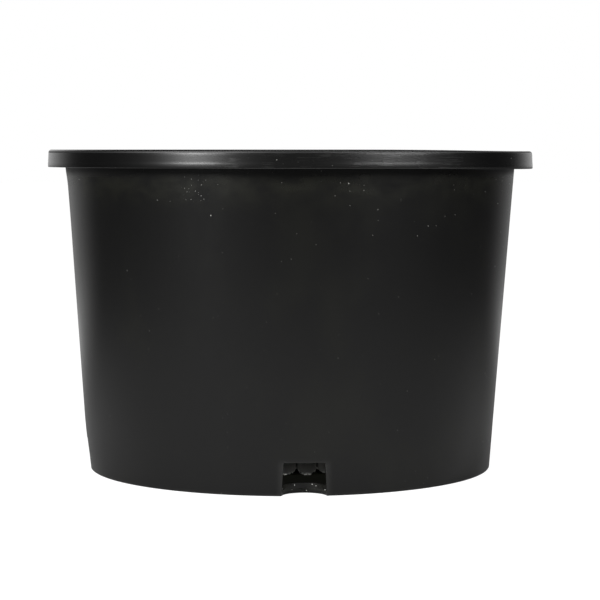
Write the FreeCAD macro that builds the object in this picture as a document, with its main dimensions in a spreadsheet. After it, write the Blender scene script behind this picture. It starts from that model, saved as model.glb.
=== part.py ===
import FreeCAD, Part
import math
import os

import Sketcher

# A squat round nursery pot, injection moulded in one piece.
# The origin is the centre of the ring it stands on, +Z is up, and one drain faces -Y.

# Driving dimensions, in millimetres, degrees and counts.
SIZES = [
    ("pot_height", 216.8, "bench to the top of the rim"),
    ("base_diameter", 275.1, "outside of the wall at the bench"),
    ("wall_thickness", 1.8, "measured square to the wall"),
    ("base_bevel", 0.6, "bevel on the bottom outer edge"),
    ("floor_thickness", 2.4, "floor, raised centre and its flutes"),
    ("floor_corner", 4.0, "sloped corner inside, where the floor meets the wall"),
    ("rim_diameter", 330.0, "outside of the rim band at its lower edge"),
    ("rim_overhang", 12.46, "wall to the outside of the band, level with its lower edge"),
    ("rim_depth", 11.7, "height of the rim band"),
    ("rim_thickness", 1.8, "top flange and band"),
    ("rim_draft", 1.2, "lean of the rim band from upright"),
    ("rim_bevel", 1.0, "bevel on the top outer edge of the rim"),
    ("mouth_bevel", 0.8, "bevel on the top inner edge of the rim"),
    ("web_count", 24, "stiffening webs hidden under the rim"),
    ("web_thickness", 1.6, "one web"),
    ("web_setback", 3.2, "web up from the lower edge of the band"),
    ("centre_diameter", 120.0, "raised centre between the flutes"),
    ("centre_height", 14.0, "bench to the top of the raised centre"),
    ("flutes_per_drain", 7, "flutes in each quarter, so a valley faces each drain"),
    ("flute_inset", 1.5, "flute axis inside the side of the raised centre"),
    ("flute_radius", 7.2, "one flute"),
    ("drain_count", 4, "notches through the foot of the wall"),
    ("drain_radius", 14.4, "core pin of a drain at the bench"),
    ("drain_height", 21.3, "bench to the top of a drain"),
    ("drain_draft", 3.4, "lean of the core pin"),
    ("curb_height", 6.4, "bench to the top of the curb round a drain"),
    ("curb_thickness", 2.0, "curb round a drain at the bench"),
    ("hole_count", 8, "round holes in the raised centre"),
    ("hole_diameter", 12.0, "one round hole"),
    ("hole_inset", 24.0, "hole axis inside the side of the raised centre"),
    ("gate_diameter", 14.0, "moulding gate pad under the raised centre"),
    ("gate_depth", 0.8, "moulding gate pad below the raised centre"),
]

Z_AXIS = FreeCAD.Vector(0, 0, 1)

# Dependent sizes, as expressions of the sheet's cells.
BASE_RADIUS = "Sizes.base_diameter / 2"
FLANGE_UNDERSIDE = "(Sizes.pot_height - Sizes.rim_thickness)"
BAND_FOOT = "(Sizes.pot_height - Sizes.rim_depth)"
WALL_SPREAD = f"(Sizes.rim_diameter / 2 - Sizes.rim_overhang - {BASE_RADIUS})"
WALL_LEAN = f"({WALL_SPREAD} / {BAND_FOOT})"
WALL_ACROSS = f"(Sizes.wall_thickness * sqrt(1 + {WALL_LEAN} ^ 2))"
BAND_HEAD = "(Sizes.pot_height - Sizes.rim_bevel)"
BAND_TOP_RADIUS = f"(Sizes.rim_diameter / 2 - ({BAND_HEAD} - {BAND_FOOT}) * tan(Sizes.rim_draft))"
BAND_INSIDE = f"({BAND_TOP_RADIUS} - Sizes.rim_thickness)"
CENTRE_UNDERSIDE = "(Sizes.centre_height - Sizes.floor_thickness)"
CENTRE_RADIUS = "Sizes.centre_diameter / 2"
CORNER_TOP = "(Sizes.floor_thickness + Sizes.floor_corner)"
MOUTH_HEIGHT = "(Sizes.pot_height - Sizes.mouth_bevel)"
FLUTE_COUNT = "Sizes.flutes_per_drain * Sizes.drain_count"


def wall_outside(height):
    """Outside radius of the wall at a height."""
    return f"({BASE_RADIUS} + {height} * {WALL_LEAN})"


def wall_inside(height):
    """Inside radius of the wall at a height."""
    return f"({wall_outside(height)} - {WALL_ACROSS})"


def make_sheet(doc):
    """Write the driving dimensions into a spreadsheet, one alias each."""
    sheet = doc.addObject("Spreadsheet::Sheet", "Sizes")
    for row, (alias, value, meaning) in enumerate(SIZES, start=1):
        sheet.set(f"A{row}", meaning)
        sheet.set(f"B{row}", str(value))
        sheet.setAlias(f"B{row}", alias)
    doc.recompute()
    return sheet


def origin_plane(body, role):
    """The body's own origin plane of the given role."""
    return next(plane for plane in body.Origin.OriginFeatures if plane.Role == role)


def new_sketch(body, name, role="XY_Plane"):
    """An empty sketch lying on one of the body's origin planes."""
    sketch = body.newObject("Sketcher::SketchObject", name)
    sketch.AttachmentSupport = [(origin_plane(body, role), "")]
    sketch.MapMode = "FlatFace"
    return sketch


def number(sketch, expression):
    """Present value of an expression."""
    return float(sketch.evalExpression(expression))


def bind(sketch, constraint, name, expression):
    """Add a dimension to a sketch and tie it to an expression."""
    index = sketch.addConstraint(constraint)
    sketch.renameConstraint(index, name)
    sketch.setExpression(f"Constraints.{name}", expression)


def pin_point(sketch, geometry, end, name, across, up):
    """Hold a point at a place given by two expressions; "0" puts it on the axis."""
    if across == "0":
        sketch.addConstraint(Sketcher.Constraint("PointOnObject", geometry, end, -2))
    else:
        value = number(sketch, across)
        bind(sketch, Sketcher.Constraint("DistanceX", geometry, end, value), f"{name}_across", across)
    if up == "0":
        sketch.addConstraint(Sketcher.Constraint("PointOnObject", geometry, end, -1))
    else:
        value = number(sketch, up)
        bind(sketch, Sketcher.Constraint("DistanceY", geometry, end, value), f"{name}_up", up)


def add_outline(sketch, corners):
    """A closed outline of straight lines; corners are (name, across, up)."""
    points = [FreeCAD.Vector(number(sketch, across), number(sketch, up), 0) for _, across, up in corners]
    for here, there in zip(points, points[1:] + points[:1]):
        sketch.addGeometry(Part.LineSegment(here, there), False)
    for line in range(len(corners)):
        following = (line + 1) % len(corners)
        sketch.addConstraint(Sketcher.Constraint("Coincident", line, 2, following, 1))
    for line, (name, across, up) in enumerate(corners):
        pin_point(sketch, line, 1, name, across, up)


def add_circle(sketch, name, across, up, radius):
    """A circle with its centre and radius tied to expressions."""
    centre = FreeCAD.Vector(number(sketch, across), number(sketch, up), 0)
    size = number(sketch, radius)
    circle = sketch.addGeometry(Part.Circle(centre, Z_AXIS, size), False)
    pin_point(sketch, circle, 3, name, across, up)
    bind(sketch, Sketcher.Constraint("Radius", circle, size), f"{name}_radius", radius)


def add_feature(body, kind, name, sketch, **expressions):
    """A pad or pocket of a sketch, upward from the bench, with its sizes tied."""
    feature = body.newObject(f"PartDesign::{kind}", name)
    feature.Profile = sketch
    feature.Reversed = kind == "Pocket"
    for size, expression in expressions.items():
        feature.setExpression(size, expression)
    body.Document.recompute()
    return feature


def repeat_round(body, name, feature, count):
    """Repeat a feature round the pot's axis."""
    pattern = body.newObject("PartDesign::PolarPattern", name)
    pattern.Originals = [feature]
    pattern.Axis = (next(line for line in body.Origin.OriginFeatures if line.Role == "Z_Axis"), "")
    pattern.Angle = 360
    pattern.setExpression("Occurrences", count)
    body.Tip = pattern
    body.Document.recompute()
    return pattern


def turn_shell(body):
    """Wall, rim and floor with its raised centre, as one turned section."""
    sketch = new_sketch(body, "ShellSection", "XZ_Plane")
    add_outline(sketch, [
        ("foot_middle", "0", "0"),
        ("bevel_foot", f"({BASE_RADIUS} - Sizes.base_bevel)", "0"),
        ("wall_foot", wall_outside("Sizes.base_bevel"), "Sizes.base_bevel"),
        ("wall_head", wall_outside(FLANGE_UNDERSIDE), FLANGE_UNDERSIDE),
        ("band_root", BAND_INSIDE, FLANGE_UNDERSIDE),
        ("band_inner_foot", BAND_INSIDE, BAND_FOOT),
        ("band_outer_foot", "Sizes.rim_diameter / 2", BAND_FOOT),
        ("band_head", BAND_TOP_RADIUS, BAND_HEAD),
        ("rim_top", f"({BAND_TOP_RADIUS} - Sizes.rim_bevel)", "Sizes.pot_height"),
        ("mouth", f"({wall_inside(MOUTH_HEIGHT)} + Sizes.mouth_bevel)", "Sizes.pot_height"),
        ("mouth_inside", wall_inside(MOUTH_HEIGHT), MOUTH_HEIGHT),
        ("corner_top", wall_inside(CORNER_TOP), CORNER_TOP),
        ("corner_foot", f"({wall_inside(CORNER_TOP)} - Sizes.floor_corner)", "Sizes.floor_thickness"),
        ("centre_foot", CENTRE_RADIUS, "Sizes.floor_thickness"),
        ("centre_edge", CENTRE_RADIUS, "Sizes.centre_height"),
        ("centre_middle", "0", "Sizes.centre_height"),
    ])
    shell = body.newObject("PartDesign::Revolution", "Shell")
    shell.Profile = sketch
    shell.ReferenceAxis = (sketch, ["V_Axis"])
    shell.Angle = 360
    body.Document.recompute()
    return shell


def flute_centre(body):
    """Flutes round the raised centre, hollow beneath like the centre itself."""
    ring = f"({CENTRE_RADIUS} - Sizes.flute_inset)"
    half_pitch = f"180 / ({FLUTE_COUNT})"
    across = f"{ring} * sin({half_pitch})"
    up = f"-{ring} * cos({half_pitch})"
    outside = new_sketch(body, "FluteOutline")
    add_circle(outside, "flute", across, up, "Sizes.flute_radius")
    flute = add_feature(body, "Pad", "Flute", outside, Length="Sizes.centre_height")
    repeat_round(body, "Flutes", flute, FLUTE_COUNT)
    under = new_sketch(body, "CentreHollowOutline")
    add_circle(under, "hollow", "0", "0", f"{CENTRE_RADIUS} - Sizes.floor_thickness")
    body.Tip = add_feature(body, "Pocket", "CentreHollow", under, Length=CENTRE_UNDERSIDE)
    inside = new_sketch(body, "FluteHollowOutline")
    add_circle(inside, "hollow", across, up, "Sizes.flute_radius - Sizes.floor_thickness")
    hollow = add_feature(body, "Pocket", "FluteHollow", inside, Length=CENTRE_UNDERSIDE)
    repeat_round(body, "FluteHollows", hollow, FLUTE_COUNT)


def add_curb(body):
    """A low curb on the floor round each drain, closed by the wall on its outer side."""
    sketch = new_sketch(body, "CurbOutline")
    pin_radius = "Sizes.drain_radius + Sizes.curb_thickness"
    seam_radius = f"{BASE_RADIUS} - {WALL_ACROSS} / 2"
    base, pin, seam = [number(sketch, size) for size in (BASE_RADIUS, pin_radius, seam_radius)]
    end_up = (pin ** 2 - seam ** 2 - base ** 2) / (2 * base)
    end_across = math.sqrt(seam ** 2 - end_up ** 2)
    lean = math.atan2(end_up + base, end_across)
    swing = math.atan2(end_up, end_across)
    pin_circle = Part.Circle(FreeCAD.Vector(0, -base, 0), Z_AXIS, pin)
    seam_circle = Part.Circle(FreeCAD.Vector(0, 0, 0), Z_AXIS, seam)
    inner = sketch.addGeometry(Part.ArcOfCircle(pin_circle, lean, math.pi - lean), False)
    outer = sketch.addGeometry(Part.ArcOfCircle(seam_circle, -math.pi - swing, swing), False)
    sketch.addConstraint(Sketcher.Constraint("Coincident", inner, 1, outer, 2))
    sketch.addConstraint(Sketcher.Constraint("Coincident", inner, 2, outer, 1))
    sketch.addConstraint(Sketcher.Constraint("Coincident", outer, 3, -1, 1))
    pin_point(sketch, inner, 3, "pin", "0", f"-{BASE_RADIUS}")
    bind(sketch, Sketcher.Constraint("Radius", inner, pin), "pin_radius", pin_radius)
    bind(sketch, Sketcher.Constraint("Radius", outer, seam), "seam_radius", seam_radius)
    curb = add_feature(body, "Pad", "Curb", sketch, Length="Sizes.curb_height")
    repeat_round(body, "Curbs", curb, "Sizes.drain_count")


def cut_drains(body):
    """Drains cored by upright pins that stand across the foot of the wall."""
    sketch = new_sketch(body, "DrainOutline")
    add_circle(sketch, "drain", "0", f"-{BASE_RADIUS}", "Sizes.drain_radius")
    drain = add_feature(
        body, "Pocket", "Drain", sketch,
        Length="Sizes.drain_height",
        TaperAngle="-Sizes.drain_draft",
    )
    repeat_round(body, "Drains", drain, "Sizes.drain_count")


def stiffen_rim(body):
    """Webs that join the wall and the rim band under the flange."""
    sketch = new_sketch(body, "WebOutline", "XZ_Plane")
    low = f"({BAND_FOOT} + Sizes.web_setback)"
    high = f"({FLANGE_UNDERSIDE} + Sizes.rim_thickness / 2)"
    add_outline(sketch, [
        ("wall_low", f"{wall_outside(low)} - {WALL_ACROSS} / 2", low),
        ("band_low", f"{BAND_INSIDE} + Sizes.rim_thickness / 2", low),
        ("band_high", f"{BAND_INSIDE} + Sizes.rim_thickness / 2", high),
        ("wall_high", f"{wall_outside(high)} - {WALL_ACROSS} / 2", high),
    ])
    web = add_feature(body, "Pad", "Web", sketch, Length="Sizes.web_thickness")
    web.SideType = "Symmetric"
    body.Document.recompute()
    repeat_round(body, "Webs", web, "Sizes.web_count")


def pierce_centre(body):
    """Round holes through the raised centre."""
    sketch = new_sketch(body, "HoleOutline")
    ring = f"{CENTRE_RADIUS} - Sizes.hole_inset"
    add_circle(sketch, "hole", ring, "0", "Sizes.hole_diameter / 2")
    hole = add_feature(body, "Pocket", "Hole", sketch, Length="Sizes.centre_height * 2")
    repeat_round(body, "Holes", hole, "Sizes.hole_count")


def add_gate(body):
    """The pad under the middle of the floor where the plastic came in."""
    sketch = new_sketch(body, "GateOutline")
    sketch.setExpression("AttachmentOffset.Base.z", f"{CENTRE_UNDERSIDE} - Sizes.gate_depth")
    add_circle(sketch, "gate", "0", "0", "Sizes.gate_diameter / 2")
    gate = add_feature(
        body, "Pad", "Gate", sketch,
        Length="Sizes.gate_depth + Sizes.floor_thickness / 2",
    )
    body.Tip = gate


def check_and_write(doc, bodies):
    """Stop on any failed object or shape, then write one STEP file a body."""
    for item in doc.Objects:
        if "Invalid" in item.State or "Error" in item.State:
            raise RuntimeError(f"{item.Name} failed: {item.State}")
    os.makedirs("parts", exist_ok=True)
    for body in bodies:
        if body.Shape.isNull() or not body.Shape.isValid():
            raise RuntimeError(f"{body.Label} has no valid shape")
        body.Shape.exportStep(f"parts/{body.Label}.step")


doc = FreeCAD.newDocument("NurseryPot")
make_sheet(doc)
pot = doc.addObject("PartDesign::Body", "Pot")
pot.Label = "nursery_pot"
turn_shell(pot)
add_curb(pot)
cut_drains(pot)
stiffen_rim(pot)
flute_centre(pot)
pierce_centre(pot)
add_gate(pot)
doc.recompute()
check_and_write(doc, [pot])
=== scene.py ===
import math

import bmesh
import bpy
from mathutils import Matrix, Vector


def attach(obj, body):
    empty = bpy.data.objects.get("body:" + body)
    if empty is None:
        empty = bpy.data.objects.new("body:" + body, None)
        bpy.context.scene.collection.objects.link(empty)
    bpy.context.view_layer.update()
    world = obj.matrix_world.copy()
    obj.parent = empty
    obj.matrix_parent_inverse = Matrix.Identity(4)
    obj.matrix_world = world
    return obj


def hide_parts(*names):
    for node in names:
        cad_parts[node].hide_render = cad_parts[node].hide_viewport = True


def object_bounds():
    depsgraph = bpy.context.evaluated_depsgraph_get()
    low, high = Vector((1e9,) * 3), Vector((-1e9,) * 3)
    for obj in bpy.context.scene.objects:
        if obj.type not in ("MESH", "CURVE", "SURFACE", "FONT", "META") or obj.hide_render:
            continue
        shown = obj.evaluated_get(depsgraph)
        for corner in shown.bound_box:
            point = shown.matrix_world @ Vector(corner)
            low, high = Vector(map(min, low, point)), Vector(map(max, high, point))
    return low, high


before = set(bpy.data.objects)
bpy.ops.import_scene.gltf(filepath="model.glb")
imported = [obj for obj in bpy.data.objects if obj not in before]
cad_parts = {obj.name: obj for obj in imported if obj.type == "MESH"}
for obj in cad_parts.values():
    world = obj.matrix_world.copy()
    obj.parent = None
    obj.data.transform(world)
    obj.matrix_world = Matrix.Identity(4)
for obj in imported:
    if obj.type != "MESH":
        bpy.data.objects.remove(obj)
cad_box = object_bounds()

# The shell: wall, floor and rim of a squat nursery pot, injection moulded in one shot of black
# polypropylene. The wall leans out to a hollow rim band, and the floor lifts to a raised centre
# with a flat pad beneath where the plastic came in.
MM = 0.001
RIM_RADIUS = cad_box[1][1]
POT_HEIGHT = cad_box[1][2]
BASE_RADIUS = 137.55 * MM
WALL_DRAFT = math.radians(4.18)
WALL = 1.8 * MM / math.cos(WALL_DRAFT)
FLOOR = 2.4 * MM
RIM_DEPTH = 11.7 * MM
RIM_WALL = 1.8 * MM
RIM_DRAFT = math.radians(2.7)
LIP_LOW = 1.9 * MM
LIP_HIGH = 3.9 * MM
LIP_TUCK = 0.10 * MM
LIP_STEP = 0.18 * MM
CENTRE_RADIUS = 60 * MM
CENTRE_HEIGHT = 14 * MM
GATE_RADIUS = 7 * MM
GATE_DEPTH = 0.8 * MM
FLARE_FOOT = 192 * MM
GATE_ROUND = 0.3 * MM
CENTRE_ROUND = 1.0 * MM
FOOT_ROUND = 0.8 * MM
FLANGE_ROUND = 0.6 * MM
SKIRT_ROUND = 0.5 * MM
LIP_FOOT_ROUND = 0.4 * MM
LIP_ROUND = 1.1 * MM
LIP_STEP_ROUND = 0.6 * MM
RIM_TOP_ROUND = 1.8 * MM
MOUTH_ROUND = 1.2 * MM
FLOOR_ROUND = 4.0 * MM
FLUTES = 28
STEPS_PER_FLUTE = 16
WALL_STEPS = 22
QUARTERS = 4


def turned(angle):
    """A turn about the pot's axis."""
    return Matrix.Rotation(angle, 4, "Z")


def wall_outside(height):
    """Outside radius of the wall at a height."""
    return BASE_RADIUS + height * math.tan(WALL_DRAFT)


def wall_inside(height):
    """Inside radius of the wall at a height."""
    return wall_outside(height) - WALL


def draw_section(corners):
    """A wire section in the XZ plane; each corner is (radius, height, round, steps to the next)."""
    section = bmesh.new()
    chain = []
    places = [Vector((radius, 0, height)) for radius, height, _, _ in corners]
    rounds = []
    for place, following, (_, _, size, steps) in zip(places, places[1:] + places[-1:], corners):
        corner = section.verts.new(place)
        chain.append(corner)
        rounds.append((corner, size))
        for step in range(1, steps):
            chain.append(section.verts.new(place.lerp(following, step / steps)))
    for pair in zip(chain, chain[1:]):
        section.edges.new(pair)
    for corner, size in rounds:
        if size:
            bmesh.ops.bevel(
                section, geom=[corner], offset=size, offset_type="OFFSET", segments=4,
                profile=0.5, affect="VERTICES", material=-1,
            )
    return section


# From the middle beneath, along the foot, up the wall, round the rim band and down the inside.
band_foot = POT_HEIGHT - RIM_DEPTH
band_top_radius = RIM_RADIUS - RIM_DEPTH * math.tan(RIM_DRAFT)
flange_under = POT_HEIGHT - RIM_WALL
band_inside = band_top_radius - RIM_WALL
hollow_radius = CENTRE_RADIUS - FLOOR
hollow_top = CENTRE_HEIGHT - FLOOR
shell = draw_section([
    (0, hollow_top - GATE_DEPTH, 0, 2),
    (GATE_RADIUS, hollow_top - GATE_DEPTH, GATE_ROUND, 1),
    (GATE_RADIUS, hollow_top, 0, 3),
    (hollow_radius, hollow_top, CENTRE_ROUND, 2),
    (hollow_radius, 0, FOOT_ROUND, 5),
    (BASE_RADIUS, 0, FOOT_ROUND, WALL_STEPS),
    (wall_outside(FLARE_FOOT), FLARE_FOOT, 0, 6),
    (wall_outside(flange_under), flange_under, FOOT_ROUND, 1),
    (band_inside, flange_under, FLANGE_ROUND, 2),
    (band_inside, band_foot, SKIRT_ROUND, 1),
    (RIM_RADIUS - LIP_TUCK, band_foot, LIP_FOOT_ROUND, 1),
    (RIM_RADIUS, band_foot + LIP_LOW, LIP_ROUND, 1),
    (RIM_RADIUS - LIP_STEP, band_foot + LIP_HIGH, LIP_STEP_ROUND, 2),
    (band_top_radius, POT_HEIGHT, RIM_TOP_ROUND, 2),
    (wall_inside(POT_HEIGHT), POT_HEIGHT, MOUTH_ROUND, 3),
    (wall_inside(FLARE_FOOT), FLARE_FOOT, 0, WALL_STEPS),
    (wall_inside(FLOOR), FLOOR, FLOOR_ROUND, 5),
    (CENTRE_RADIUS, FLOOR, CENTRE_ROUND, 2),
    (CENTRE_RADIUS, CENTRE_HEIGHT, CENTRE_ROUND, 4),
    (0, CENTRE_HEIGHT, 0, 1),
])
bmesh.ops.spin(
    shell, geom=shell.verts[:] + shell.edges[:], cent=(0, 0, 0), axis=(0, 0, 1), dvec=(0, 0, 0),
    angle=math.tau / QUARTERS, steps=FLUTES * STEPS_PER_FLUTE // QUARTERS, use_merge=False,
    use_normal_flip=False, use_duplicate=False,
)
quarter = shell.verts[:] + shell.edges[:] + shell.faces[:]
for number in range(1, QUARTERS):
    copied = bmesh.ops.duplicate(shell, geom=quarter)["geom"]
    bmesh.ops.rotate(
        shell, verts=[item for item in copied if isinstance(item, bmesh.types.BMVert)],
        cent=(0, 0, 0), matrix=turned(math.tau * number / QUARTERS),
    )
bmesh.ops.remove_doubles(shell, verts=shell.verts[:], dist=0.001 * MM)

# The flutes: the moulder lobed the side of the raised centre like a pie tin, above and beneath,
# to stiffen the floor. Each lobe is part of a circle, and a valley faces each drain.
FLUTE_RING = 58.5 * MM
FLUTE_RADIUS = 7.2 * MM
FLUTE_REACH = 3.0 * MM
half_pitch = math.pi / FLUTES


def lobed(radius, core, lobe, angle):
    """Radius of a lobed outline, where a plain side at the core radius would be at this radius."""
    offset = radius - core
    from_axis = (angle + math.pi / 2) % (2 * half_pitch) - half_pitch
    reach = (lobe + offset) ** 2 - (FLUTE_RING * math.sin(from_axis)) ** 2
    if reach <= 0:
        return radius
    return max(radius, FLUTE_RING * math.cos(from_axis) + math.sqrt(reach))


for point in shell.verts:
    across = point.co.xy.length
    if across > CENTRE_RADIUS - FLOOR / 2:
        core, lobe = CENTRE_RADIUS, FLUTE_RADIUS
    else:
        core, lobe = hollow_radius, FLUTE_RADIUS - FLOOR
    if abs(across - core) < FLUTE_REACH:
        point.co.xy *= lobed(across, core, lobe, math.atan2(point.co.y, point.co.x)) / across
bmesh.ops.recalc_face_normals(shell, faces=shell.faces[:])

# The drains: four upright core pins stood across the foot of the wall, and left a notch in wall
# and floor with a low curb round it on the inside. Round pins left holes in the raised centre.
DRAINS = 4
DRAIN_RADIUS = 14.4 * MM
DRAIN_HEIGHT = 21.3 * MM
DRAIN_DRAFT = math.radians(3.4)
DRAIN_TOP_RADIUS = DRAIN_RADIUS - DRAIN_HEIGHT * math.tan(DRAIN_DRAFT)
DRAIN_FACETS = 96
CURB_HEIGHT = 6.4 * MM
CURB_FOOT = 1.2 * MM
CURB_WALL = 2.0 * MM
CURB_SEAM = 135.9 * MM
HOLES = 8
HOLE_RADIUS = 6.0 * MM
HOLE_RING = 36.0 * MM
HOLE_FACETS = 40
PIN_DEPTH = 5.0 * MM


def add_round(mesh, foot, head, low, high, place, facets):
    """A closed round bar or cone frustum, upright, from a low to a high level."""
    centre = Matrix.Translation((place[0], place[1], (low + high) / 2))
    return bmesh.ops.create_cone(
        mesh, cap_ends=True, cap_tris=False, segments=facets, radius1=foot, radius2=head,
        depth=high - low, matrix=centre,
    )["verts"]


def make_object(name, mesh):
    """A new object in the scene that holds a finished bmesh."""
    data = bpy.data.meshes.new(name)
    mesh.to_mesh(data)
    mesh.free()
    made = bpy.data.objects.new(name, data)
    bpy.context.scene.collection.objects.link(made)
    return made


added_parts = bmesh.new()
for number in range(DRAINS):
    ring = add_round(
        added_parts, DRAIN_RADIUS + CURB_WALL, DRAIN_RADIUS + CURB_WALL, CURB_FOOT, CURB_HEIGHT,
        (0, -BASE_RADIUS), DRAIN_FACETS,
    )
    faces = list({face for point in ring for face in point.link_faces})
    edges = list({edge for point in ring for edge in point.link_edges})
    cut = bmesh.ops.bisect_plane(
        added_parts, geom=ring + edges + faces, plane_co=(0, -CURB_SEAM, 0), plane_no=(0, -1, 0),
        clear_outer=True, dist=1e-7,
    )
    open_edges = [item for item in cut["geom_cut"] if isinstance(item, bmesh.types.BMEdge)]
    bmesh.ops.contextual_create(added_parts, geom=open_edges)
    bmesh.ops.rotate(
        added_parts, verts=added_parts.verts[:], cent=(0, 0, 0), matrix=turned(math.tau / DRAINS)
    )

core_pins = bmesh.new()
for number in range(DRAINS):
    spread = DRAIN_RADIUS + PIN_DEPTH * math.tan(DRAIN_DRAFT)
    add_round(
        core_pins, spread, DRAIN_TOP_RADIUS, -PIN_DEPTH, DRAIN_HEIGHT, (0, -BASE_RADIUS),
        DRAIN_FACETS,
    )
    bmesh.ops.rotate(
        core_pins, verts=core_pins.verts[:], cent=(0, 0, 0), matrix=turned(math.tau / DRAINS)
    )
for number in range(HOLES):
    at = turned(math.tau * number / HOLES) @ Vector((HOLE_RING, 0, 0))
    add_round(
        core_pins, HOLE_RADIUS, HOLE_RADIUS, PIN_DEPTH, CENTRE_HEIGHT + PIN_DEPTH, at, HOLE_FACETS
    )

# The webs: thin gussets under the flange tie the rim band to the wall, set back from its edge.
# They come out of the same mould, so they join the shell before the pins are taken out of it.
WEBS = 24
WEB = 1.6 * MM
WEB_SETBACK = 3.2 * MM
for number in range(WEBS):
    low = band_foot + WEB_SETBACK
    high = flange_under + RIM_WALL / 2
    near = wall_outside(low) - WALL / 2
    far = band_inside + RIM_WALL / 2
    place = Matrix.Translation(((near + far) / 2, 0, (low + high) / 2))
    size = Matrix.Diagonal((far - near, WEB, high - low, 1))
    bmesh.ops.create_cube(added_parts, size=1, matrix=turned(math.tau * number / WEBS) @ place @ size)
bmesh.ops.recalc_face_normals(added_parts, faces=added_parts.faces[:])

pot = make_object("nursery_pot_body", shell)
added = make_object("curbs_and_webs", added_parts)
removed = make_object("core_pins", core_pins)
for operation, tool in (("UNION", added), ("DIFFERENCE", removed)):
    step = pot.modifiers.new(operation.lower(), "BOOLEAN")
    step.operation = operation
    step.solver = "MANIFOLD"
    step.object = tool
depsgraph = bpy.context.evaluated_depsgraph_get()
pot.data = bpy.data.meshes.new_from_object(pot.evaluated_get(depsgraph))
pot.modifiers.clear()
for tool in (added, removed):
    bpy.data.objects.remove(tool)

# The set: the pot cooled slightly out of true. The rim sags at its right end, the wall bellies out
# at the lower left and stands in at the lower right, and flares a little under the rim at the left.
SAG = 1.2 * MM
SAG_REACH = 150 * MM
BELLY = 1.65 * MM
BELLY_TOP = 170 * MM
BELLY_FOOT = 35 * MM
STAND_IN = 0.9 * MM
STAND_IN_TOP = 200 * MM
FLARE = 0.65 * MM
SHARP_FROM = math.radians(32)


def ease(value):
    """A smooth step from 0 to 1."""
    value = min(max(value, 0), 1)
    return value * value * (3 - 2 * value)


def wall_set(side, height):
    """How far the wall has moved outward; side is -1 at the left and 1 at the right."""
    if side > 0:
        return -STAND_IN * ease(side) ** 2 * max(0, 1 - height / STAND_IN_TOP)
    belly = BELLY * max(0, 1 - height / BELLY_TOP) * ease(height / BELLY_FOOT)
    flare = FLARE * ease((height - FLARE_FOOT) / (band_foot - FLARE_FOOT))
    return ease(-side) ** 2 * (belly + flare)


for point in pot.data.vertices:
    across = point.co.xy.length
    side = point.co.x / RIM_RADIUS
    level = point.co.z
    if side > 0:
        point.co.z -= SAG * ease(side) ** 2 * ease((level - POT_HEIGHT + SAG_REACH) / SAG_REACH)
    if BASE_RADIUS / 2 < across < band_inside - RIM_WALL:
        point.co.xy *= 1 + wall_set(side, level) / across
pot.data.polygons.foreach_set("use_smooth", [True] * len(pot.data.polygons))
pot.data.set_sharp_from_angle(angle=SHARP_FROM)
flat_faces = pot.modifiers.new("flat_faces", "WEIGHTED_NORMAL")
flat_faces.keep_sharp = True

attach(pot, "root")
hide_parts("nursery_pot")


# The plastic: black polypropylene as it left the mould, with a fine grain and faint upright draw
# marks on the wall, and a rim band that is smooth and a shade duller. What rises above the skin
# is measured in shares of the relief.
BLACK = (0.0038, 0.0038, 0.0037, 1)
WALL_ROUGHNESS = 0.22
RIM_ROUGHNESS = 0.26
MOTTLED = 0.06
DRAWN_ROUGHNESS = 0.025
GRAIN_DEPTH = 0.8
DRAWN_DEPTH = 0.3
RELIEF = 0.006 * MM
REFRACTION = 1.49


class Signal:
    """The output of a shader node; arithmetic on it adds Math nodes."""

    def __init__(self, tree, output):
        self.tree = tree
        self.output = output

    @classmethod
    def node(cls, tree, kind, settings=None, inputs=None, output=0):
        """Add a node: its settings first, then the values or links of its sockets."""
        node = tree.nodes.new(kind)
        for name, value in (settings or {}).items():
            setattr(node, name, value)
        for name, value in (inputs or {}).items():
            if isinstance(value, Signal):
                tree.links.new(value.output, node.inputs[name])
            else:
                node.inputs[name].default_value = value
        return cls(tree, node.outputs[output] if node.outputs else None)

    def other(self, name):
        """Another output of the node that made this one."""
        return Signal(self.tree, self.output.node.outputs[name])

    def math(self, operation, *others):
        """A Math node on this value and others."""
        inputs = dict(enumerate((self, *others)))
        return Signal.node(self.tree, "ShaderNodeMath", {"operation": operation}, inputs)

    def step(self, low, high):
        """A smooth step from 0 at low to 1 at high."""
        inputs = {"Value": self, "From Min": low, "From Max": high}
        return Signal.node(self.tree, "ShaderNodeMapRange", {"interpolation_type": "SMOOTHSTEP"}, inputs)

    def within(self, low, high, edge):
        """1 between low and high, with soft edges outside them."""
        return self.step(low - edge, low) * (1 - self.step(high, high + edge))

    def __add__(self, other):
        return self.math("ADD", other)

    def __radd__(self, other):
        return self.math("ADD", other)

    def __sub__(self, other):
        return self.math("SUBTRACT", other)

    def __rsub__(self, other):
        return Signal.node(self.tree, "ShaderNodeMath", {"operation": "SUBTRACT"}, {0: other, 1: self})

    def __mul__(self, other):
        return self.math("MULTIPLY", other)

    def __rmul__(self, other):
        return self.math("MULTIPLY", other)

    def __truediv__(self, other):
        return self.math("DIVIDE", other)


plastic = bpy.data.materials.new("black_polypropylene")
plastic.use_nodes = True
tree = plastic.node_tree
tree.nodes.clear()
place = Signal.node(tree, "ShaderNodeTexCoord", output="Object")
x = Signal.node(tree, "ShaderNodeSeparateXYZ", inputs={0: place})
y = x.other("Y")
z = x.other("Z")
out = (x * x + y * y).math("SQRT")
around = x.math("ARCTAN2", y * -1)


def cloud(size, stretch=(1, 1, 1), detail=2):
    """Noise from 0 to 1, its features about one size across before each axis is stretched."""
    squeezed = tuple(1 / (size * axis) for axis in stretch)
    mapped = Signal.node(tree, "ShaderNodeMapping", inputs={"Vector": place, "Scale": squeezed})
    return Signal.node(tree, "ShaderNodeTexNoise", inputs={"Vector": mapped, "Scale": 1, "Detail": detail})


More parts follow.
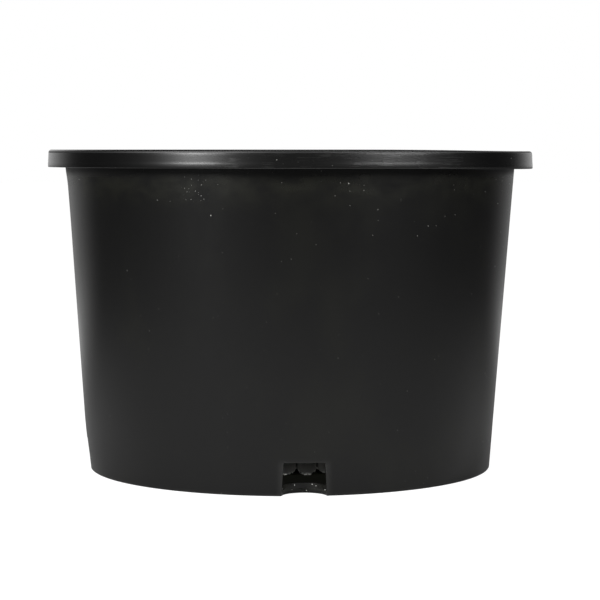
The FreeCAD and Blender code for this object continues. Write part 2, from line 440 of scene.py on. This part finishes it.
def mixed(factor, under, over):
    """One colour over another."""
    inputs = {0: factor, 6: under, 7: over}
    return Signal.node(tree, "ShaderNodeMix", {"data_type": "RGBA"}, inputs, output=2)


on_rim = z.step(band_foot - 0.6 * MM, band_foot - 0.2 * MM)
on_wall = 1 - on_rim
mottle = cloud(45 * MM, (1, 1, 1.6), 3)
drawn = cloud(1.6 * MM, (1, 1, 60))
grain = cloud(0.45 * MM)
rough = WALL_ROUGHNESS + on_rim * (RIM_ROUGHNESS - WALL_ROUGHNESS)
rough += (mottle - 0.5) * MOTTLED + (drawn - 0.5) * on_wall * DRAWN_ROUGHNESS
height = (grain - 0.5) * on_wall * GRAIN_DEPTH + (drawn - 0.5) * on_wall * DRAWN_DEPTH

# The dust film: fine olive dust has settled in patches on the wall below the rim, and thinly
# further down. Right under the rim, away from the front, it lies thick enough to dull the plastic.
FILM = (0.0090, 0.0092, 0.0064, 1)
FILM_STARTS = (174 * MM, 195 * MM)
FILM_ENDS = (199 * MM, 204 * MM)
FILM_THICKNESS = 0.7
FILM_BELOW = 0.3
FILM_DULLS = 0.08
CORNER_DUST_FROM = 203.5 * MM
CORNER_DUST_FADE = 5.5 * MM
CORNER_DUST_DULLS = 0.30
AWAY_FROM_FRONT = (0.55, 1.15)
patches = cloud(9 * MM, (1.5, 1.5, 1), 3)
under_band = z.step(*FILM_STARTS) * (1 - z.step(*FILM_ENDS))
film = under_band * patches.step(0.25, 0.80) * FILM_THICKNESS
film = on_wall * (film + mottle.step(0.45, 0.75) * FILM_BELOW)
corner_dust = z.within(CORNER_DUST_FROM, band_foot, CORNER_DUST_FADE) * on_wall
corner_dust *= around.math("ABSOLUTE").step(*AWAY_FROM_FRONT)
colour = mixed(film, BLACK, FILM)
rough += film * FILM_DULLS + corner_dust * CORNER_DUST_DULLS

# The rim band's wear and painted light: away from the front the band is a deeper black than the
# wall, and at the front, which faces the lamps, it keeps the wall's paler black, partly as handling
# wear and partly as painted light. It is scuffed paler in level streaks where hands take hold of it
# at the front. A painted highlight runs along its foot as a pale hair, brighter at the front, where
# the lit floor catches the lower edge, and its flat top is rubbed matt by the pots stacked on it.
# The band's deeper black away from the front; the front keeps the wall's paler black, as painted light and
# handling wear.
DEEPER_BLACK = (0.0013, 0.0013, 0.0013, 1)
PALER = (0.0130, 0.0130, 0.0125, 1)
# Painted highlight: the pale hair along the band's foot, where the lit floor catches the edge.
FOOT_HIGHLIGHT = (0.0220, 0.0220, 0.0212, 1)
FOOT_HIGHLIGHT_HEIGHT = 0.35 * MM
FOOT_HIGHLIGHT_REACH = 1.5 * MM
FOOT_HIGHLIGHT_AWAY = 0.4
SCUFF_PALENESS = 0.4
SCUFF_DULLS = 0.09
STREAK_DEPTH = 0.55
TOP_EDGE = (POT_HEIGHT - 2.0 * MM, POT_HEIGHT - 1.25 * MM)
TOP_EDGE_DULLS = 0.26
FLAT_TOP_RADIUS = band_top_radius - 2.6 * MM
FLAT_TOP_DULLS = 0.60
# The front of the band: handling wear, and painted light where it faces the lamps.
handled_and_lit_front = around.within(-0.30, 0.60, 0.25)
streaks = cloud(0.7 * MM, (24, 24, 1), 3)
scuffed = on_rim * streaks.step(0.50, 0.66) * patches.step(0.45, 0.62) * handled_and_lit_front
# Where the painted highlight lies: a thin strip at the band's foot, on its outer face.
foot_highlight = z.within(band_foot - 0.1 * MM, band_foot + FOOT_HIGHLIGHT_HEIGHT, 0.15 * MM)
foot_highlight *= (out - RIM_RADIUS + FOOT_HIGHLIGHT_REACH).step(0, 0.3 * MM)
top_edge = z.within(*TOP_EDGE, 0.2 * MM)
flat_top = z.step(POT_HEIGHT - 1.6 * MM, POT_HEIGHT - 1.3 * MM)
flat_top *= 1 - out.step(FLAT_TOP_RADIUS, FLAT_TOP_RADIUS + 0.8 * MM)
# Deeper black away from the front; the paler front is partly painted light.
colour = mixed(on_rim * (1 - handled_and_lit_front), colour, DEEPER_BLACK)
colour = mixed(scuffed * SCUFF_PALENESS, colour, PALER)
# The painted highlight along the foot, full at the front and weaker away from it.
colour = mixed(foot_highlight * (FOOT_HIGHLIGHT_AWAY + handled_and_lit_front * (1 - FOOT_HIGHLIGHT_AWAY)), colour, FOOT_HIGHLIGHT)
rough += scuffed * SCUFF_DULLS + top_edge * TOP_EDGE_DULLS + flat_top * FLAT_TOP_DULLS
height += (streaks - 0.5) * on_rim * STREAK_DEPTH

# The foot and the drains: the plastic is paler round each drain, where the pins sheared it, and
# rubbed along the foot. Inside, dried soil leaves the floor matt, and the floor is painted a darker
# olive, partly soil and partly painted shade in the hollow. The curbs are painted paler, partly
# dust and partly painted light that comes in through the drains, with light grit and painted
# glints on them.
# Partly soil, partly painted shade: the inside floor darker than the plastic.
FLOOR_SOIL_AND_SHADE = (0.0025, 0.0030, 0.0004, 1)
# Partly dust, partly painted light: the curbs paler where light comes in through the drains.
CURB_DUST_AND_LIGHT = (0.0130, 0.0132, 0.0110, 1)
# Light grit and painted glints: the bright specks on the curbs, and the crust on the flutes.
GRIT_AND_GLINTS = (0.6000, 0.6000, 0.5700, 1)
SHEARED_WITHIN = (13 * MM, 18.5 * MM)
SHEARED_UP_TO = (19 * MM, 24 * MM)
RUBBED_UP_TO = (0.5 * MM, 1.8 * MM)
OUTER_SKIN = (BASE_RADIUS - 3 * MM, BASE_RADIUS - 1 * MM)
INNER_SIDE = (BASE_RADIUS - 4 * MM, BASE_RADIUS - 3 * MM)
CURB_FROM_PIN = (13.0 * MM, 16.2 * MM)
SOIL_DULLS = 0.72


def specks(spacing, radius, share):
    """Round specks: one in some of the cells of a lattice, each cell a spacing across."""
    cell = Signal.node(tree, "ShaderNodeTexVoronoi", inputs={"Vector": place, "Scale": 1 / spacing})
    chosen = Signal.node(tree, "ShaderNodeSeparateColor", inputs={0: cell.other("Color")})
    reach = radius / spacing
    return (1 - cell.step(reach * 0.6, reach)) * (share - chosen).math("GREATER_THAN", 0)


sideways = x.math("ABSOLUTE").math("MINIMUM", y.math("ABSOLUTE"))
beyond = x.math("ABSOLUTE").math("MAXIMUM", y.math("ABSOLUTE")) - BASE_RADIUS
from_pin = (sideways * sideways + beyond * beyond).math("SQRT")
sheared = (1 - sideways.step(*SHEARED_WITHIN)) * (1 - z.step(*SHEARED_UP_TO))
rubbed = (1 - z.step(*RUBBED_UP_TO)) * patches.step(0.35, 0.6)
on_floor = (wall_inside(FLOOR) - out).step(-1 * MM, 1 * MM)
on_floor *= z.within(FLOOR - 0.2 * MM, FLOOR + 0.4 * MM, 0.3 * MM)
on_curb = from_pin.within(*CURB_FROM_PIN, 0.4 * MM) * (1 - out.step(*INNER_SIDE))
on_curb *= 1 - z.step(CURB_HEIGHT - 0.2 * MM, CURB_HEIGHT + 0.2 * MM)
worn = ((sheared + rubbed) * out.step(*OUTER_SKIN)).math("MINIMUM", 1)
colour = mixed(worn, colour, PALER)
# Painted shade and soil: the inside floor a darker olive.
colour = mixed(on_floor, colour, FLOOR_SOIL_AND_SHADE)
# Dust and painted light on the curbs.
colour = mixed(on_curb * patches.step(0.3, 0.7), colour, CURB_DUST_AND_LIGHT)
# Grit and painted glints on the curbs.
colour = mixed(specks(1.9 * MM, 0.42 * MM, 0.30) * on_curb, colour, GRIT_AND_GLINTS)
rough += on_floor * SOIL_DULLS

# The silt: water has left pale silt on the flutes, and the same pale colour is painted light,
# thickest low down where the lobes catch the light and fading upward. None is in the valleys,
# whose dark line is painted shade. Its edge hangs in ragged scallops, one to a lobe, with a broken
# light crust along it, which is a painted highlight on each lobe's lower lip.
SILT_AND_LIGHT = (0.3600, 0.3600, 0.3420, 1)
SILT_RISE = 3.6 * MM
SILT_CURVE = 3
SILT_RAGGED = 2.4 * MM
SILT_THINS = (0.5 * MM, 11 * MM)
FADES_UPWARD = 0.84
VALLEY = (0.84, 0.97)
VALLEY_SHADE = 0.85
SILT_DULLS = 0.2
from_crest = ((around / (2 * half_pitch)).math("FRACT") - 0.5).math("ABSOLUTE") * 2
above_silt = z - FLOOR - from_crest.math("POWER", SILT_CURVE) * SILT_RISE
above_silt += (cloud(3 * MM, (1, 1, 1), 3) - 0.5) * SILT_RAGGED
on_flutes = out.within(CENTRE_RADIUS - 1 * MM, FLUTE_RING + FLUTE_RADIUS + 1.5 * MM, 1 * MM)
on_flutes *= 1 - z.step(CENTRE_HEIGHT - 1 * MM, CENTRE_HEIGHT)
# Pale silt and painted light on the lobes, fading upward, with painted shade in each valley.
silt_and_light = on_flutes * above_silt.step(0.2 * MM, 0.8 * MM) * (1 - from_crest.step(*VALLEY) * VALLEY_SHADE)
silt_and_light *= 1 - above_silt.step(*SILT_THINS) * FADES_UPWARD
# Painted highlight: the bright crust along each lobe's lower lip.
crust_and_highlight = on_flutes * above_silt.within(0.3 * MM, 0.9 * MM, 0.5 * MM)
crust_and_highlight *= cloud(2.2 * MM).step(0.44, 0.60)
# Silt and painted light, then the painted highlight of the crust.
colour = mixed(silt_and_light * (0.6 + 0.4 * patches), colour, SILT_AND_LIGHT)
colour = mixed(crust_and_highlight, colour, GRIT_AND_GLINTS)
rough += silt_and_light * SILT_DULLS

# The specks: light crumbs of potting mix cling to the wall, more of them near the top, fewer on
# the rim band, with one small spatter high on the left. They stand proud and are matt.
SPECK = (0.26, 0.26, 0.24, 1)
MORE_ABOVE = (120 * MM, 200 * MM)
FINE_DUST = 0.7
SPATTER_SIDE = (-0.50, -0.43)
SPATTER_HEIGHT = (187 * MM, 199 * MM)
SPATTER = 0.6
RUBBED_OFF = 0.6
SPECK_DULLS = 0.5
SPECK_HEIGHT = 4
near_top = z.step(*MORE_ABOVE)
crumbs = specks(6.5 * MM, 0.45 * MM, 0.19) * (0.15 + 0.85 * near_top)
fine = specks(3.0 * MM, 0.3 * MM, 0.16) * (0.2 + 0.8 * near_top) * mottle.step(0.42, 0.56)
spattered = around.within(*SPATTER_SIDE, 0.03) * z.within(*SPATTER_HEIGHT, 3 * MM)
spatter = specks(1.5 * MM, 0.32 * MM, 0.60) * spattered
dust = (crumbs + fine * FINE_DUST + spatter * SPATTER).math("MINIMUM", 1) * (1 - on_rim * RUBBED_OFF)
colour = mixed(dust, colour, SPECK)
rough += dust * SPECK_DULLS
height += dust * SPECK_HEIGHT

relief = Signal.node(
    tree, "ShaderNodeBump", inputs={"Strength": 1, "Distance": RELIEF, "Height": height}
)
shaded = Signal.node(tree, "ShaderNodeBsdfPrincipled", inputs={
    "Base Color": colour, "Roughness": rough, "IOR": REFRACTION, "Normal": relief,
})
Signal.node(tree, "ShaderNodeOutputMaterial", inputs={"Surface": shaded})
pot.data.materials.clear()
pot.data.materials.append(plastic)

# The floor: a plain pale sheet just below the foot, shown white to the camera but for the pot's
# shadow. It is pale round the pot and falls away to dim, and its far part glows in the plastic.
FLOOR_RADIUS = 12.0
FLOOR_DROP = 0.05 * MM
PALE = 0.25
FAR_PALE = 0.06
PALE_WITHIN = 0.16
DIM_BEYOND = 1.1
SHOWN_WHITE = 0.85
GLOW = 0.58
GLOW_BESIDE = 0.40
GLOW_BEHIND = 0.95
GLOW_FADE = 0.42
FADE_REACH = (0.8, 1.9)
RIGHT_DIMMER = 0.24
RIGHT_REACH = 0.5
sheet = bmesh.new()
bmesh.ops.create_circle(sheet, cap_ends=True, segments=96, radius=FLOOR_RADIUS)
bmesh.ops.translate(sheet, verts=sheet.verts[:], vec=(0, 0, -FLOOR_DROP))
floor = make_object("floor", sheet)
pale = bpy.data.materials.new("pale_floor")
pale.use_nodes = True
floor_tree = pale.node_tree
floor_tree.nodes.clear()
camera_ray = Signal.node(floor_tree, "ShaderNodeLightPath", output="Is Camera Ray")
glossy_ray = camera_ray.other("Is Glossy Ray")
spot = Signal.node(floor_tree, "ShaderNodeTexCoord", output="Object")
to_right = Signal.node(floor_tree, "ShaderNodeSeparateXYZ", inputs={0: spot})
from_pot = Signal.node(
    floor_tree, "ShaderNodeVectorMath", {"operation": "LENGTH"}, {0: spot}, output="Value"
)
far_off = from_pot.step(PALE_WITHIN, DIM_BEYOND)
glow = (to_right.other("Y") / from_pot).step(GLOW_BESIDE, GLOW_BEHIND) * GLOW * far_off
glow *= (1 - GLOW_FADE * from_pot.step(*FADE_REACH)) * (1 - RIGHT_DIMMER * to_right.step(0, RIGHT_REACH))
lit = Signal.node(
    floor_tree, "ShaderNodeBsdfDiffuse", inputs={"Color": PALE - far_off * (PALE - FAR_PALE)}
)
white = Signal.node(
    floor_tree, "ShaderNodeEmission", inputs={"Strength": SHOWN_WHITE + far_off * (1 - SHOWN_WHITE)}
)
both = Signal.node(floor_tree, "ShaderNodeAddShader", inputs={0: lit, 1: white})
shown = Signal.node(
    floor_tree, "ShaderNodeMixShader", inputs={0: camera_ray + glossy_ray * glow, 1: lit, 2: both}
)
Signal.node(floor_tree, "ShaderNodeOutputMaterial", inputs={"Surface": shown})
floor.data.materials.append(pale)

# The studio: a dim room with a white sweep behind the pot and a pale ceiling, which the plastic
# mirrors. The camera sees it white.
AMBIENT = 0.27
DIM = 0.04
SWEEP = 0.86
SWEEP_FROM = (0.55, 0.95)
CEILING = 0.45
CEILING_FROM = (0.75, 0.98)
world = bpy.data.worlds.new("studio")
bpy.context.scene.world = world
world.use_nodes = True
room_tree = world.node_tree
room_tree.nodes.clear()
camera_ray = Signal.node(room_tree, "ShaderNodeLightPath", output="Is Camera Ray")
glossy_ray = camera_ray.other("Is Glossy Ray")
direction = Signal.node(room_tree, "ShaderNodeTexCoord", output="Generated")
backward = Signal.node(room_tree, "ShaderNodeSeparateXYZ", inputs={0: direction}, output="Y")
sweep = backward.step(*SWEEP_FROM) * SWEEP
ceiling = backward.other("Z").step(*CEILING_FROM) * CEILING
room = glossy_ray * (DIM + sweep + ceiling) + (1 - glossy_ray) * AMBIENT
strength = room + camera_ray * (1 - room)
sky = Signal.node(
    room_tree, "ShaderNodeBackground", inputs={"Color": (1, 1, 1, 1), "Strength": strength}
)
Signal.node(room_tree, "ShaderNodeOutputWorld", inputs={"Surface": sky})


# The lamps: two soft boxes in front, left and right, whose mirror images are the bright streaks on
# the rim band. A weak one overhead, kept out of the mirror images, shows the inside.
def add_lamp(name, azimuth, elevation, distance, width, height, radiance):
    """A soft box aimed at the pot, from an azimuth off the front and an elevation, in degrees."""
    lamp_data = bpy.data.lights.new(name, "AREA")
    lamp_data.shape = "RECTANGLE"
    lamp_data.size = width
    lamp_data.size_y = height
    lamp_data.energy = radiance * width * height * math.pi
    lamp = bpy.data.objects.new(name, lamp_data)
    bpy.context.scene.collection.objects.link(lamp)
    turn = math.radians(azimuth)
    up = math.radians(elevation)
    middle = Vector((0, 0, POT_HEIGHT / 2))
    away = Vector((math.sin(turn) * math.cos(up), -math.cos(turn) * math.cos(up), math.sin(up)))
    lamp.location = middle + away * distance
    lamp.rotation_euler = (-away).to_track_quat("-Z", "Y").to_euler()
    return lamp


add_lamp("key_lamp", azimuth=-47.4, elevation=22, distance=1.9, width=0.5, height=0.5, radiance=62)
add_lamp("fill_lamp", azimuth=45, elevation=22.5, distance=1.9, width=0.9, height=0.5, radiance=20.5)
overhead_lamp = add_lamp(
    "overhead_lamp", azimuth=0, elevation=76, distance=1.5, width=0.9, height=0.9, radiance=4
)
overhead_lamp.visible_glossy = False

# The camera: level with the rim, a little left of the drain, and looking slightly down.
CAMERA_DISTANCE = 1.433
CAMERA_TURN = math.radians(3.6)
CAMERA_DIP = math.radians(4.123)
CAMERA_ASIDE = math.radians(0.2614)
SENSOR_WIDTH = 36
FOCAL_LENGTH = 125.27
camera_data = bpy.data.cameras.new("camera")
camera = bpy.data.objects.new("camera", camera_data)
bpy.context.scene.collection.objects.link(camera)
bpy.context.scene.camera = camera
camera.location = (
    -CAMERA_DISTANCE * math.sin(CAMERA_TURN), -CAMERA_DISTANCE * math.cos(CAMERA_TURN), POT_HEIGHT
)
camera.rotation_euler = (math.pi / 2 - CAMERA_DIP, 0, -CAMERA_TURN - CAMERA_ASIDE)
camera_data.sensor_width = SENSOR_WIDTH
camera_data.lens = FOCAL_LENGTH

bpy.context.scene.view_settings.view_transform = "Standard"
